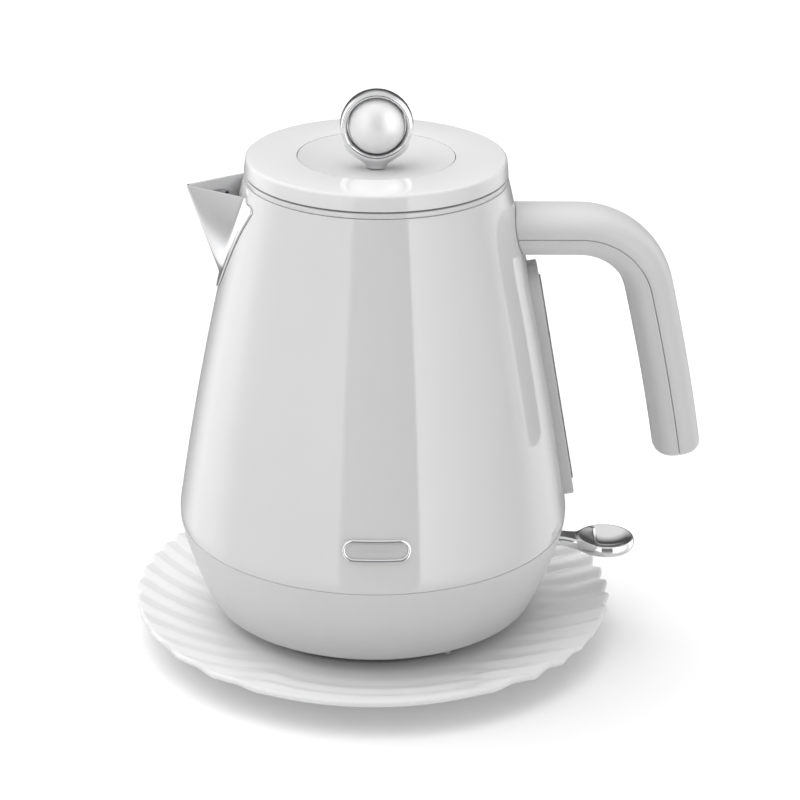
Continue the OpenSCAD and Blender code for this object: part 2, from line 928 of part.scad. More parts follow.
// Bottom cover with a tongue towards the back, where the cord leaves
module base_cover() {
    color(satin_white)
        difference() {
            union() {
                rotate_extrude()
                    polygon([[0, cover_z], [floor_r - 1, cover_z], [floor_r, cover_z + 1],
                        [floor_r, skirt_top], [floor_r - 2, skirt_top], [floor_r - 2, cover_top],
                        [0, cover_top]]);
                difference() {
                    translate([-9, 60, cover_z]) cube([18, tongue_y - 60, skirt_top - cover_z]);
                    translate([-7, 50, cover_top]) cube([14, tongue_y - 54, 20]);
                }
            }
            translate([-7, 60, cover_top]) cube([14, 10, 20]);
            translate([0, 70, gland_z]) rotate([-90, 0, 0]) cylinder(r = gland_r + 0.05, h = 30);
            for (a = [45:90:315])
                rotate([0, 0, a])
                    translate([boss_r, 0, 0]) {
                        cylinder(r = 1.6, h = 10);
                        cylinder(r = 3, h = cover_z + 1.1);
                    }
        }
}

// Four outer feet, and a larger one under the post that takes the kettle's weight
module base_feet() {
    color(silicone) {
        cylinder(r = 12, h = cover_z);
        for (a = [0:90:270])
            rotate([0, 0, a])
                translate([58, 0, 0]) cylinder(r = 6, h = cover_z);
    }
}

module base_screws() {
    color(steel)
        for (a = [45:90:315])
            rotate([0, 0, a])
                translate([boss_r, 0, 0]) {
                    translate([0, 0, cover_z + 0.1]) cylinder(r = 2.8, h = 1);
                    translate([0, 0, cover_z + 1]) cylinder(r = 1.2, h = 11);
                }
}

post_top = 32.5;

// Fixed post with one hole and two ring slots for the kettle's contacts
module connector_post() {
    color(black_plastic)
        difference() {
            translate([0, 0, cover_top]) cylinder(r = post_r, h = post_top - cover_top);
            translate([0, 0, 18]) cylinder(r = 2.2, h = 20);
            tube(6.8, 8.8, 20.5, 40);
            tube(11.4, 13.4, 22.5, 40);
        }
}

module post_contacts() {
    blade = 14;
    color(brass) {
        translate([0, 0, 18]) cylinder(r = 2.1, h = 2);
        rotate_extrude(angle = blade) polygon([[6.85, 21], [7.2, 21], [7.2, 29], [6.85, 29]]);
        rotate([0, 0, 180])
            rotate_extrude(angle = blade) polygon([[11.45, 23], [11.8, 23], [11.8, 29], [11.45, 29]]);
    }
}

// Ring that turns with the kettle and closes the gap round the post
module shutter_ring() {
    color(satin_white)
        rotate_extrude()
            polygon([[post_r + 0.3, deck_top + 0.05], [19.2, deck_top + 0.05],
                [19.2, 22.4], [18.7, 22.9], [post_r + 0.3, 22.9]]);
}

module cord_gland() {
    color(plastic_grey)
        translate([0, 0, gland_z])
            rotate([-90, 0, 0])
                difference() {
                    union() {
                        translate([0, 0, tongue_y - 5]) cylinder(r = gland_r, h = 5);
                        translate([0, 0, tongue_y]) cylinder(r = gland_r + 0.3, h = 2.5);
                    }
                    cylinder(r = cord_r, h = 200);
                }
}

body_shell();
spout();
filter_frame();
filter_mesh();
collar_ring();
badge_frame();
badge_plate();
lid_cover();
lid_disc();
lid_plug();
lid_seal();
knob_ring();
knob_ball();
knob_screw();
handle_outer();
handle_inner();
handle_bracket();
handle_screws();
grip_screws();
gauge_housing();
gauge_window();
gauge_seal();
bottom_housing();
bottom_cover();
cover_screws();
kettle_socket();
kettle_contacts();
heater_plate();
heater_element();
heater_seal();
bimetal_disc();
control_body();
steam_tube();
trip_lever();
switch_lever();
lever_pin();
base_plate();
base_deck();
base_cover();
base_feet();
base_screws();
connector_post();
post_contacts();
shutter_ring();
cord_gland();
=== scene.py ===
import math

import bmesh
import bpy
import numpy as np
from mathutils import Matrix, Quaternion, Vector


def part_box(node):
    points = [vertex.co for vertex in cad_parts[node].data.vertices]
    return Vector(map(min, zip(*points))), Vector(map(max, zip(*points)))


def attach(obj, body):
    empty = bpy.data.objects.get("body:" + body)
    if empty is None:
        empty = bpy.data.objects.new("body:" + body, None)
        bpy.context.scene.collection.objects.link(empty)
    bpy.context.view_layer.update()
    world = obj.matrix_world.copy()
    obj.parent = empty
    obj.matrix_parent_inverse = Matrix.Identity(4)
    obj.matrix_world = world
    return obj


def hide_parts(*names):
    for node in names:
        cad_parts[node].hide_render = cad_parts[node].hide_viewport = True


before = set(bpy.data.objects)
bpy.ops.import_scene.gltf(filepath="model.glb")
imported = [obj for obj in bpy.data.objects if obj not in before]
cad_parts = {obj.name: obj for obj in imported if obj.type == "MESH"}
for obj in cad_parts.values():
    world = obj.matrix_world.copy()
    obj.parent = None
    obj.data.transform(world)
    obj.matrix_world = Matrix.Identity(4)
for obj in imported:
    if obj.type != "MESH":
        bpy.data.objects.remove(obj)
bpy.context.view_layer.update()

# An electric jug kettle on its rippled power base. The frame's Z is up, +X points to the
# handle and -Y to the badge. Lengths are in millimetres here and are made metres where a
# mesh is built. A height called h is measured up from the seam under the body.
MM = 0.001
SEAM_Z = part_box("body_shell")[0].z / MM

# ---------- Driving dimensions ----------

SEAM_R, TOP_R, BODY_H, BULGE, WALL = 83.0, 54.8, 151.0, 2.1, 1.0
CURL, CURL_H = 1.0, 6.0
LID_R, DISC_R, DISH = 54.6, 32.5, 5.4
LID_LOW, LID_TOP, DISC_SEAT = 154.0, 160.5, 158.2
COLLAR_LOW, COLLAR_TOP, COLLAR_IN = 151.2, 153.3, 50.0
PLUG_R, PLUG_LOW = 49.4, 141.0
KNOB_H, KNOB_R, BALL_R, KNOB_DEPTH = 173.3, 15.1, 11.8, 9.0
GRIP_W, GRIP_T, BEND_R = 31.0, 20.0, 31.0
ARM_H, BEND_X, BEND_END, LEG_R, LEG_END, PARTING = 129.0, 84.8, 14.0, 1000.0, 9.7, 0.2
GAUGE_TILT, GAUGE_X, GAUGE_H = 10.46, 77.15, 61.75
GAUGE_L, GAUGE_W, WINDOW_L, WINDOW_W = 107.7, 22.0, 94.7, 12.0
BADGE_H, BADGE_L, BADGE_W, BADGE_RIM = 19.0, 28.2, 9.5, 1.5
HOUSING_T, LIP_IN, LIP_T = 2.2, 59.0, 3.5
BOWL_DEPTH, CORNER_DEPTH, CORNER_R, CORNER_ANGLE = 43.0, 36.0, 12.7, 26.6
PIVOT_X, PIVOT_Z, PIVOT_R, SLOT_HALF = 70.0, 40.0, 1.5, 6.0
HEAD_X, HEAD_Z, HEAD_R, HEAD_T, DIP_R = 101.8, 38.8, 12.5, 6.6, 9.6
FLOOR_Z, FLOOR_T, RIM_Z, RIM_T, FLOOR_R, HOLE_R = 10.2, 2.0, 16.6, 2.9, 68.0, 59.0
PLATE_R, RIPPLE_H, PITCH = 103.0, 1.2, 12.6
DECK_R, DECK_TOP, POST_R = 56.0, 19.8, 16.0
RECESS_R, RECESS_Z = 58.0, 20.0


# ---------- Numbers and curves ----------

def smooth(a, b, v):
    t = min(1.0, max(0.0, (v - a) / (b - a)))
    return t * t * (3 - 2 * t)


def spread(a, b, n):
    return [a + (b - a) * i / n for i in range(n + 1)]


def body_r(h):
    t = h / BODY_H
    c = max(0.0, 1 - max(0.0, h) / CURL_H)
    return SEAM_R + CURL + (TOP_R - SEAM_R - CURL) * t + 4 * BULGE * t * (1 - t) - CURL * c * c


def bowl_r(depth, off=0.0):
    return SEAM_R + 0.2 - 0.219 * depth - 0.0039 * depth * depth - off


def dish_h(r):
    return LID_TOP - 0.1 - DISH * (1 - (r / DISC_R) ** 2)


def arc(cx, cy, r, a0, a1, n=8):
    return [(cx + r * math.cos(math.radians(a)), cy + r * math.sin(math.radians(a)))
            for a in spread(a0, a1, n)]


def rounded(corners, n=4):
    """A closed outline through (x, y) or (x, y, radius) corners, each radius as an arc."""
    out = []
    for i, corner in enumerate(corners):
        p = Vector(corner[:2])
        r = corner[2] if len(corner) > 2 else 0
        if r <= 0:
            out.append(tuple(p))
            continue
        a = (Vector(corners[i - 1][:2]) - p).normalized()
        b = (Vector(corners[(i + 1) % len(corners)][:2]) - p).normalized()
        half = a.angle(b) / 2
        c = p + (a + b).normalized() * (r / math.sin(half))
        start = p + a * (r / math.tan(half)) - c
        end = p + b * (r / math.tan(half)) - c
        a0 = math.atan2(start.y, start.x)
        turn = (math.atan2(end.y, end.x) - a0 + math.pi) % (2 * math.pi) - math.pi
        out += [(c.x + r * math.cos(a0 + turn * k / n), c.y + r * math.sin(a0 + turn * k / n))
                for k in range(n + 1)]
    return out


# ---------- Mesh tools ----------

def piece(name, verts, faces, material, body, slot, nodes, sharp=32):
    """A finished piece: its mesh, shading, material, body and the CAD nodes that it stands for."""
    mesh = bpy.data.meshes.new(name)
    mesh.from_pydata([(x * MM, y * MM, z * MM) for x, y, z in verts], [], faces)
    bm = bmesh.new()
    bm.from_mesh(mesh)
    bmesh.ops.remove_doubles(bm, verts=bm.verts, dist=1e-7)
    bmesh.ops.recalc_face_normals(bm, faces=bm.faces)
    bm.to_mesh(mesh)
    bm.free()
    obj = bpy.data.objects.new(name, mesh)
    bpy.context.scene.collection.objects.link(obj)
    shade(obj, sharp)
    mesh.materials.append(material)
    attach(obj, body)
    if nodes:
        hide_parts(*nodes)
    return obj


def shade(obj, sharp):
    obj.data.shade_smooth()
    obj.data.set_sharp_from_angle(angle=math.radians(sharp))


def grid_faces(rows, cols, wrap_rows, wrap_cols, start=0):
    """Quads of a grid of points, rows by cols, which may close on itself either way."""
    return [(start + i * cols + j, start + i * cols + (j + 1) % cols,
             start + (i + 1) % rows * cols + (j + 1) % cols, start + (i + 1) % rows * cols + j)
            for i in range(rows if wrap_rows else rows - 1)
            for j in range(cols if wrap_cols else cols - 1)]


def lathe(outline, segments=256):
    """Points and faces of a closed (radius, z) outline that is turned about Z."""
    verts = [(r * math.cos(2 * math.pi * j / segments), r * math.sin(2 * math.pi * j / segments), z)
             for r, z in outline for j in range(segments)]
    rows = len(outline)
    faces = []
    for i in range(rows):
        if outline[i][0] < 1e-6 and outline[(i + 1) % rows][0] < 1e-6:
            continue
        faces += [(i * segments + j, i * segments + (j + 1) % segments,
                   (i + 1) % rows * segments + (j + 1) % segments, (i + 1) % rows * segments + j)
                  for j in range(segments)]
    return verts, faces


def raised(outline):
    """An outline given in heights above the seam, in the frame's z."""
    return [(r, SEAM_Z + h) for r, h in outline]


def cut(obj, verts, faces, sharp=32):
    """Takes a closed solid away from a piece."""
    mesh = bpy.data.meshes.new("cutter")
    mesh.from_pydata([(x * MM, y * MM, z * MM) for x, y, z in verts], [], faces)
    bm = bmesh.new()
    bm.from_mesh(mesh)
    bmesh.ops.recalc_face_normals(bm, faces=bm.faces)
    bm.to_mesh(mesh)
    bm.free()
    cutter = bpy.data.objects.new("cutter", mesh)
    bpy.context.scene.collection.objects.link(cutter)
    modifier = obj.modifiers.new("cut", "BOOLEAN")
    modifier.operation = "DIFFERENCE"
    modifier.solver = "EXACT"
    modifier.object = cutter
    bpy.context.view_layer.update()
    result = bpy.data.meshes.new_from_object(obj.evaluated_get(bpy.context.evaluated_depsgraph_get()))
    obj.modifiers.clear()
    obj.data = result
    bpy.data.objects.remove(cutter)
    shade(obj, sharp)


def prism_x(outline, x0, x1):
    """A closed (y, z) outline pushed along X."""
    n = len(outline)
    verts = [(x, y, z) for x in (x0, x1) for y, z in outline]
    faces = grid_faces(2, n, False, True)
    return verts, faces + [tuple(range(n)), tuple(range(2 * n - 1, n - 1, -1))]


def implicit(f, low, high, step, passes=4):
    """Points and faces of the surface f = 0 in a box, by surface nets, pulled onto f itself."""
    axes = [np.arange(a, b + step, step) for a, b in zip(low, high)]
    value = f(*np.meshgrid(*axes, indexing="ij"))
    inside = value < 0
    shape = np.array(value.shape) - 1
    corners = [(i, j, k) for i in (0, 1) for j in (0, 1) for k in (0, 1)]

    def part(array, corner):
        return array[tuple(slice(c, c + s) for c, s in zip(corner, shape))]

    total = np.zeros(tuple(shape) + (3,))
    count = np.zeros(tuple(shape))
    for a in corners:
        for axis in range(3):
            if a[axis]:
                continue
            b = tuple(1 if n == axis else c for n, c in enumerate(a))
            va, vb = part(value, a), part(value, b)
            crosses = part(inside, a) != part(inside, b)
            t = np.where(crosses, va / np.where(crosses, va - vb, 1.0), 0.0)
            for n in range(3):
                total[..., n] += np.where(crosses, a[n] + (t if n == axis else 0.0), 0.0)
            count += crosses
    cells = np.argwhere(count > 0)
    index = -np.ones(tuple(shape), int)
    index[tuple(cells.T)] = np.arange(len(cells))
    mid = total[tuple(cells.T)] / count[tuple(cells.T)][:, None]
    points = (cells + mid) * step + np.array([a[0] for a in axes])
    faces = []
    for axis in range(3):
        u, v = [n for n in range(3) if n != axis]
        ahead = np.roll(inside, -1, axis) != inside
        for cell in np.argwhere(ahead):
            if cell[axis] >= shape[axis] or cell[u] < 1 or cell[v] < 1:
                continue
            if cell[u] >= shape[u] or cell[v] >= shape[v]:
                continue
            du, dv = np.eye(3, dtype=int)[u], np.eye(3, dtype=int)[v]
            faces.append([int(index[tuple(cell - a * du - b * dv)])
                          for a, b in ((0, 0), (1, 0), (1, 1), (0, 1))])
    e = step * 0.1
    for _ in range(passes):
        here = f(*points.T)
        slope = np.stack([(f(*(points + e * n).T) - f(*(points - e * n).T)) / (2 * e)
                          for n in np.eye(3)], 1)
        points = points - here[:, None] * slope / np.maximum((slope ** 2).sum(1), 1e-6)[:, None]
    return [tuple(p) for p in points], faces


def soft_min(a, b, k):
    h = np.maximum(k - np.abs(a - b), 0) / k
    return np.minimum(a, b) - h * h * k / 4


def soft_max(a, b, k):
    return -soft_min(-a, -b, k)


# ---------- Materials ----------

class Nodes:
    """Short names for building one node tree."""

    def __init__(self, tree):
        self.tree = tree

    def add(self, kind, **settings):
        node = self.tree.nodes.new(kind)
        for key, value in settings.items():
            setattr(node, key, value)
        return node

    def link(self, a, b):
        self.tree.links.new(a, b)

    def math(self, operation, a, b=None, c=None):
        node = self.add("ShaderNodeMath", operation=operation)
        for socket, value in zip(node.inputs, (a, b, c)):
            if value is None:
                continue
            if isinstance(value, (int, float)):
                socket.default_value = value
            else:
                self.link(value, socket)
        return node.outputs[0]

    def noise(self, coords, scale, detail=3.0, rough=0.5):
        node = self.add("ShaderNodeTexNoise")
        node.inputs["Scale"].default_value = scale
        node.inputs["Detail"].default_value = detail
        node.inputs["Roughness"].default_value = rough
        self.link(coords, node.inputs["Vector"])
        return node.outputs["Fac"]

    def spread(self, value, low, high):
        node = self.add("ShaderNodeMapRange")
        node.inputs["To Min"].default_value = low
        node.inputs["To Max"].default_value = high
        node.inputs["From Min"].default_value = 0.3
        node.inputs["From Max"].default_value = 0.7
        self.link(value, node.inputs["Value"])
        return node.outputs[0]


def new_material(name):
    material = bpy.data.materials.new(name)
    material.use_nodes = True
    nodes = Nodes(material.node_tree)
    shader = material.node_tree.nodes["Principled BSDF"]
    coords = nodes.add("ShaderNodeTexCoord").outputs["Object"]
    return material, nodes, shader, coords


def tinted(nodes, shader, colour, variation, value):
    """Base colour that drifts a little, lighter and darker, with a noise value."""
    mix = nodes.add("ShaderNodeMix", data_type="RGBA")
    nodes.link(value, mix.inputs["Factor"])
    mix.inputs[6].default_value = [c * (1 - variation) for c in colour] + [1]
    mix.inputs[7].default_value = [min(1, c * (1 + variation)) for c in colour] + [1]
    nodes.link(mix.outputs[2], shader.inputs["Base Color"])


def bumped(nodes, shader, value, strength, distance):
    bump = nodes.add("ShaderNodeBump")
    bump.inputs["Strength"].default_value = strength
    bump.inputs["Distance"].default_value = distance
    nodes.link(value, bump.inputs["Height"])
    nodes.link(bump.outputs["Normal"], shader.inputs["Normal"])


def moulded(name, colour, rough, grain=1100.0, depth=0.00002, strength=0.25, coat=0.0, variation=0.012):
    """Painted or moulded surface: a faint drift of tone, uneven gloss and a fine grain."""
    material, nodes, shader, coords = new_material(name)
    broad = nodes.noise(coords, 14.0, 2.0)
    fine = nodes.noise(coords, grain, 2.0)
    wear = nodes.noise(coords, 90.0, 5.0, 0.6)
    tinted(nodes, shader, colour, variation, nodes.spread(broad, 0.0, 1.0))
    nodes.link(nodes.spread(wear, rough * 0.88, rough * 1.14), shader.inputs["Roughness"])
    bumped(nodes, shader, fine, strength, depth)
    shader.inputs["IOR"].default_value = 1.5
    if coat:
        shader.inputs["Coat Weight"].default_value = coat
        shader.inputs["Coat Roughness"].default_value = 0.03
    return material


def polished(name, colour, rough, brushed=(1.0, 1.0, 1.0), scale=700.0, strength=0.05, metal=1.0):
    """Metal with fine polishing marks, which a brushed scale draws out along one direction."""
    material, nodes, shader, coords = new_material(name)
    stretch = nodes.add("ShaderNodeMapping")
    stretch.inputs["Scale"].default_value = brushed
    nodes.link(coords, stretch.inputs["Vector"])
    marks = nodes.noise(stretch.outputs[0], scale, 4.0, 0.6)
    smears = nodes.noise(coords, 60.0, 3.0)
    shader.inputs["Metallic"].default_value = metal
    tinted(nodes, shader, colour, 0.02, nodes.spread(smears, 0.0, 1.0))
    nodes.link(nodes.spread(marks, rough * 0.8, rough * 1.25), shader.inputs["Roughness"])
    bumped(nodes, shader, marks, strength, 0.00001)
    return material


def clear_plastic(name):
    material, nodes, shader, coords = new_material(name)
    shader.inputs["Base Color"].default_value = (0.42, 0.44, 0.45, 1)
    shader.inputs["Transmission Weight"].default_value = 0.92
    shader.inputs["IOR"].default_value = 1.49
    haze = nodes.noise(coords, 40.0, 3.0)
    nodes.link(nodes.spread(haze, 0.03, 0.09), shader.inputs["Roughness"])
    bumped(nodes, shader, haze, 0.05, 0.0001)
    return material


PAINT = moulded("gloss_paint", (0.63, 0.63, 0.63), 0.06, grain=420.0, strength=0.06, coat=0.3)
# The lid's white is a lighter copy of the body's gloss paint: painted light, for the lid top that faces up
# into more light.
LIT_LID_PAINT = moulded("lid_gloss", (0.7, 0.7, 0.7), 0.09, grain=420.0, strength=0.06)
SATIN = moulded("satin_white", (0.58, 0.58, 0.58), 0.38, grain=1500.0, strength=0.3)
DISC = moulded("disc_satin", (0.62, 0.62, 0.62), 0.4, grain=1500.0, strength=0.1)
PLATE = moulded("plate_satin", (0.74, 0.74, 0.74), 0.42, grain=1500.0, strength=0.2)
GREY = moulded("grey_plastic", (0.36, 0.36, 0.37), 0.45, grain=1200.0, strength=0.35)
BLACK = moulded("black_plastic", (0.02, 0.02, 0.02), 0.5, grain=1200.0, strength=0.4)
RUBBER = moulded("silicone", (0.5, 0.5, 0.49), 0.6, grain=900.0, strength=0.4, variation=0.03)
CHROME = polished("chrome_trim", (0.86, 0.86, 0.87), 0.07)
BRIGHT = polished("spout_steel", (0.82, 0.82, 0.83), 0.12, (1.0, 1.0, 0.08), 500.0, 0.06)
BALL = polished("knob_chrome", (0.9, 0.9, 0.9), 0.36, scale=260.0, strength=0.01, metal=0.3)
HOOP = polished("hoop_chrome", (0.78, 0.78, 0.79), 0.16)
STEEL = polished("brushed_steel", (0.6, 0.6, 0.61), 0.3, (0.1, 1.0, 1.0), 900.0, 0.2)
CAST = polished("cast_aluminium", (0.55, 0.55, 0.56), 0.5, scale=500.0, strength=0.5)
BRASS = polished("brass_contact", (0.75, 0.56, 0.28), 0.28, scale=900.0, strength=0.15)
CLEAR = clear_plastic("clear_window")
BADGE = moulded("badge_lacquer", (0.52, 0.52, 0.52), 0.5, grain=1800.0, strength=0.2)
GAUGE = moulded("gauge_satin", (0.5, 0.5, 0.5), 0.42, grain=1300.0, strength=0.15)
BOWL = moulded("bowl_satin", (0.6, 0.6, 0.6), 0.4, grain=1300.0, strength=0.1)


# ---------- Kettle body ----------

def make_body():
    edge = 0.35
    hs = [0, 0.5, 1, 2, 3, 4, 5, 6] + spread(9, BODY_H - 1, 44)
    outer = [(body_r(h), h) for h in hs[1:]]
    top = [(body_r(BODY_H) - edge * (1 - math.sin(math.radians(a))) * 0.8,
            BODY_H - edge + edge * math.cos(math.radians(a))) for a in (80, 55, 30, 5)]
    low = [(body_r(0) - WALL, 0), (body_r(0) - 0.25, 0), (body_r(0), 0.2)]
    inner = [(body_r(h) - WALL, h) for h in reversed(hs[1:])]
    inner = [(body_r(BODY_H) - WALL, BODY_H)] + inner
    obj = piece("body_skin", *lathe(raised(low + outer + top + inner), 288), PAINT,
                "kettle", "gloss_paint", ["body_shell"])
    hole = rounded([(-5, SEAM_Z + 116, 1.5), (5, SEAM_Z + 116, 1.5),
                    (11, SEAM_Z + 141, 3), (-11, SEAM_Z + 141, 3)])
    cut(obj, *prism_x(hole, -90, -30))


def make_collar():
    neck = body_r(BODY_H) - WALL - 0.3
    outline = rounded([
        (COLLAR_IN, 144.5, 0.4), (neck, 144.5, 0.3), (neck, COLLAR_LOW),
        (LID_R, COLLAR_LOW, 0.35), (LID_R, COLLAR_TOP, 0.5), (COLLAR_IN, COLLAR_TOP, 0.5)])
    piece("collar", *lathe(raised(outline)), PAINT, "kettle", "gloss_paint", ["collar_ring"])


def on_body(u, h, off):
    """A point on the body's front, u mm round from the badge's middle."""
    r = body_r(h)
    a = u / r
    return ((r + off) * math.sin(a), -(r + off) * math.cos(a), SEAM_Z + h)


def stadium(length, width, n=20, m=14):
    """Outline of a bar with round ends; points along its sides let it follow a curved surface."""
    half = (length - width) / 2
    side = [half - 2 * half * i / m for i in range(1, m)]
    return ([(half + x, y) for x, y in arc(0, 0, width / 2, -90, 90, n)]
            + [(x, width / 2) for x in side]
            + [(x - half, y) for x, y in arc(0, 0, width / 2, 90, 270, n)]
            + [(-x, -width / 2) for x in side])


def make_badge():
    frame_profile = [(0, -0.2), (0, 0.45), (0.12, 0.8), (0.4, 1.04), (0.75, 1.1), (1.1, 1.04),
                     (1.38, 0.8), (1.5, 0.45), (1.5, -0.2)]
    rings = [[on_body(u, BADGE_H + v, off) for u, v in stadium(BADGE_L - 2 * d, BADGE_W - 2 * d)]
             for d, off in frame_profile]
    cols = len(rings[0])
    piece("badge_rim", [p for ring in rings for p in ring],
          grid_faces(len(rings), cols, True, True), CHROME, "kettle", "chrome_trim", ["badge_frame"])
    dome = [(BADGE_RIM - 0.05, -0.2), (BADGE_RIM - 0.05, 0.3), (BADGE_RIM + 0.3, 0.42),
            (BADGE_RIM + 1, 0.48), (BADGE_RIM + 2, 0.5), (BADGE_RIM + 3.2, 0.5)]
    rings = [[on_body(u, BADGE_H + v, off) for u, v in stadium(BADGE_L - 2 * d, BADGE_W - 2 * d)]
             for d, off in dome]
    faces = grid_faces(len(rings), cols, False, True)
    faces += [tuple(range(cols)), tuple(range((len(rings) - 1) * cols, len(rings) * cols))]
    piece("badge_face", [p for ring in rings for p in ring], faces, BADGE, "kettle",
          "satin_plastic", ["badge_plate"])


# ---------- Spout ----------

RIM_H, TIP_X, KEEL_X, KEEL_H, SHEET = 147.0, -78.4, -65.2, 109.2, 0.9
FOLD_TOP, FOLD_ROUND, FLANGE_LOW, FLANGE_T, FLANGE_GAP = 17.3, 9.5, 103.4, 0.8, 0.3
FLANGE_DROP = 1.6
# Known defect: this replaces the bowl's CORNER_R of 12.7 above, so make_bowl rounds its corner by 2.2.
CORNER_R = 2.2


def fold_y(h):
    u = max(0.0, (h - KEEL_H) / (RIM_H - KEEL_H))
    return max(0.6, min(1, math.sqrt(7 * u)) * (FOLD_ROUND + (FOLD_TOP - FOLD_ROUND) * u ** 0.8))


def flange_shift(y, h):
    """How far a point beyond the fold is lowered, so the flange ends below the beak's rim."""
    return -FLANGE_DROP * smooth(FOLD_TOP + 0.3, FOLD_TOP + 2.3, abs(y)) * smooth(130, RIM_H, h)


def flange_y(h):
    """Half width of the flange: a round foot, straight flanks, and small round top corners."""
    low_r, low_h, flank_top, flank_h = 11.5, FLANGE_LOW + 11.5, 25.9, RIM_H - CORNER_R
    if h > flank_h:
        return flank_top - CORNER_R + math.sqrt(max(0.0, CORNER_R ** 2 - (h - flank_h) ** 2))
    slope = math.atan2(flank_top - low_r, flank_h - low_h)
    leave = low_h - low_r * math.sin(slope) * 0.75
    if h < leave:
        return math.sqrt(max(0.0, low_r ** 2 - (h - low_h) ** 2))
    start = math.sqrt(low_r ** 2 - (leave - low_h) ** 2)
    return start + (flank_top - start) * (h - leave) / (flank_h - leave)


def beak_x(y, h, inset):
    """The beak at a height: two straight sides and a rounded keel, a hyperbola in plan."""
    keel = KEEL_X + (TIP_X - KEEL_X) * (h - KEEL_H) / (RIM_H - KEEL_H) + inset * 1.6
    side = fold_y(h) - inset * 1.2
    if side < 0.3:
        return 0.0
    meet = -math.sqrt((body_r(h) + 0.3) ** 2 - side * side)
    depth = meet - keel
    if depth <= 0.02:
        return 0.0
    c = min(1.1, 0.2 * depth)
    m = math.sqrt((depth + c) ** 2 - c * c) / side
    return keel - c + math.sqrt(c * c + (m * y) ** 2)


def make_spout():
    inner_y = [0, .02, .04, .06, .085, .11, .15, .2, .27, .35, .45, .55, .65, .75, .83, .89, .93, .96, .98]
    outer_y = [0.0, 0.04, 0.08, 0.13, 0.2, 0.3, 0.45, 0.6, 0.75]
    edge_y = [0.7, 0.6, 0.45, 0.28, 0.12, 0.03, 0.0]
    low, high = FLANGE_LOW + 0.02, RIM_H - CORNER_R
    levels = [low + (high - low) * (i / 52) ** 1.25 for i in range(53)]
    levels += [high + CORNER_R * math.sin(math.radians(a)) for a in (15, 30, 45, 60, 72, 82, 90)]
    front, back = [], []
    for h in levels:
        fold, edge = fold_y(h), flange_y(h)
        fold = min(fold, edge * 0.8) if h < KEEL_H + 1 else fold
        ys = [fold * t for t in inner_y] + [fold + (edge - fold) * t for t in outer_y]
        for e in edge_y:
            ys.append(max(ys[-1] + 0.002, edge - e))
        ys = [min(y, max(edge, 0.01)) for y in ys]
        row_front, row_back = [], []
        for y in [-y for y in reversed(ys[1:])] + ys:
            reach = max(0.0, min(1.0, (edge - abs(y)) / 0.6))
            off = FLANGE_GAP + (FLANGE_T - FLANGE_GAP) * math.sqrt(max(0.0, 1 - (1 - reach) ** 2))
            z = h + flange_shift(y, h)
            on_flange = -math.sqrt((body_r(z) + off) ** 2 - y * y)
            x = float(soft_min(on_flange, beak_x(y, h, 0), 0.7)) if abs(y) < fold * 1.35 else on_flange
            row_front.append((x, y, SEAM_Z + z))
            lift = FLANGE_GAP + 0.12
            stand = lift * (1 - smooth(0.3, 1.3, edge - abs(y))) - 0.12
            under = -math.sqrt((body_r(z) + stand) ** 2 - y * y)
            row_back.append((min(under, beak_x(y, h, SHEET)), y, SEAM_Z + z))
        front.append(row_front)
        back.append(row_back)
    lip = []
    for a in (20, 45, 70, 90, 110, 135, 160):
        c, s = math.cos(math.radians(a)), math.sin(math.radians(a))
        lip.append([((f[0] + b[0]) / 2 + (f[0] - b[0]) / 2 * c, f[1], f[2] + 0.4 * s)
                    for f, b in zip(front[-1], back[-1])])
    rows = front + lip + back[::-1]
    cols = len(front[0])
    verts = [p for row in rows for p in row]
    faces = grid_faces(len(rows), cols, True, False)
    n = len(rows)
    for j in (0, cols - 1):
        for i in range(n // 2):
            k = n - 1 - i
            if k - 1 > i + 1:
                faces.append((i * cols + j, (i + 1) * cols + j, (k - 1) * cols + j, k * cols + j))
    piece("spout_beak", verts, faces, BRIGHT, "kettle", "steel", ["spout"], sharp=40)


# ---------- Lid ----------

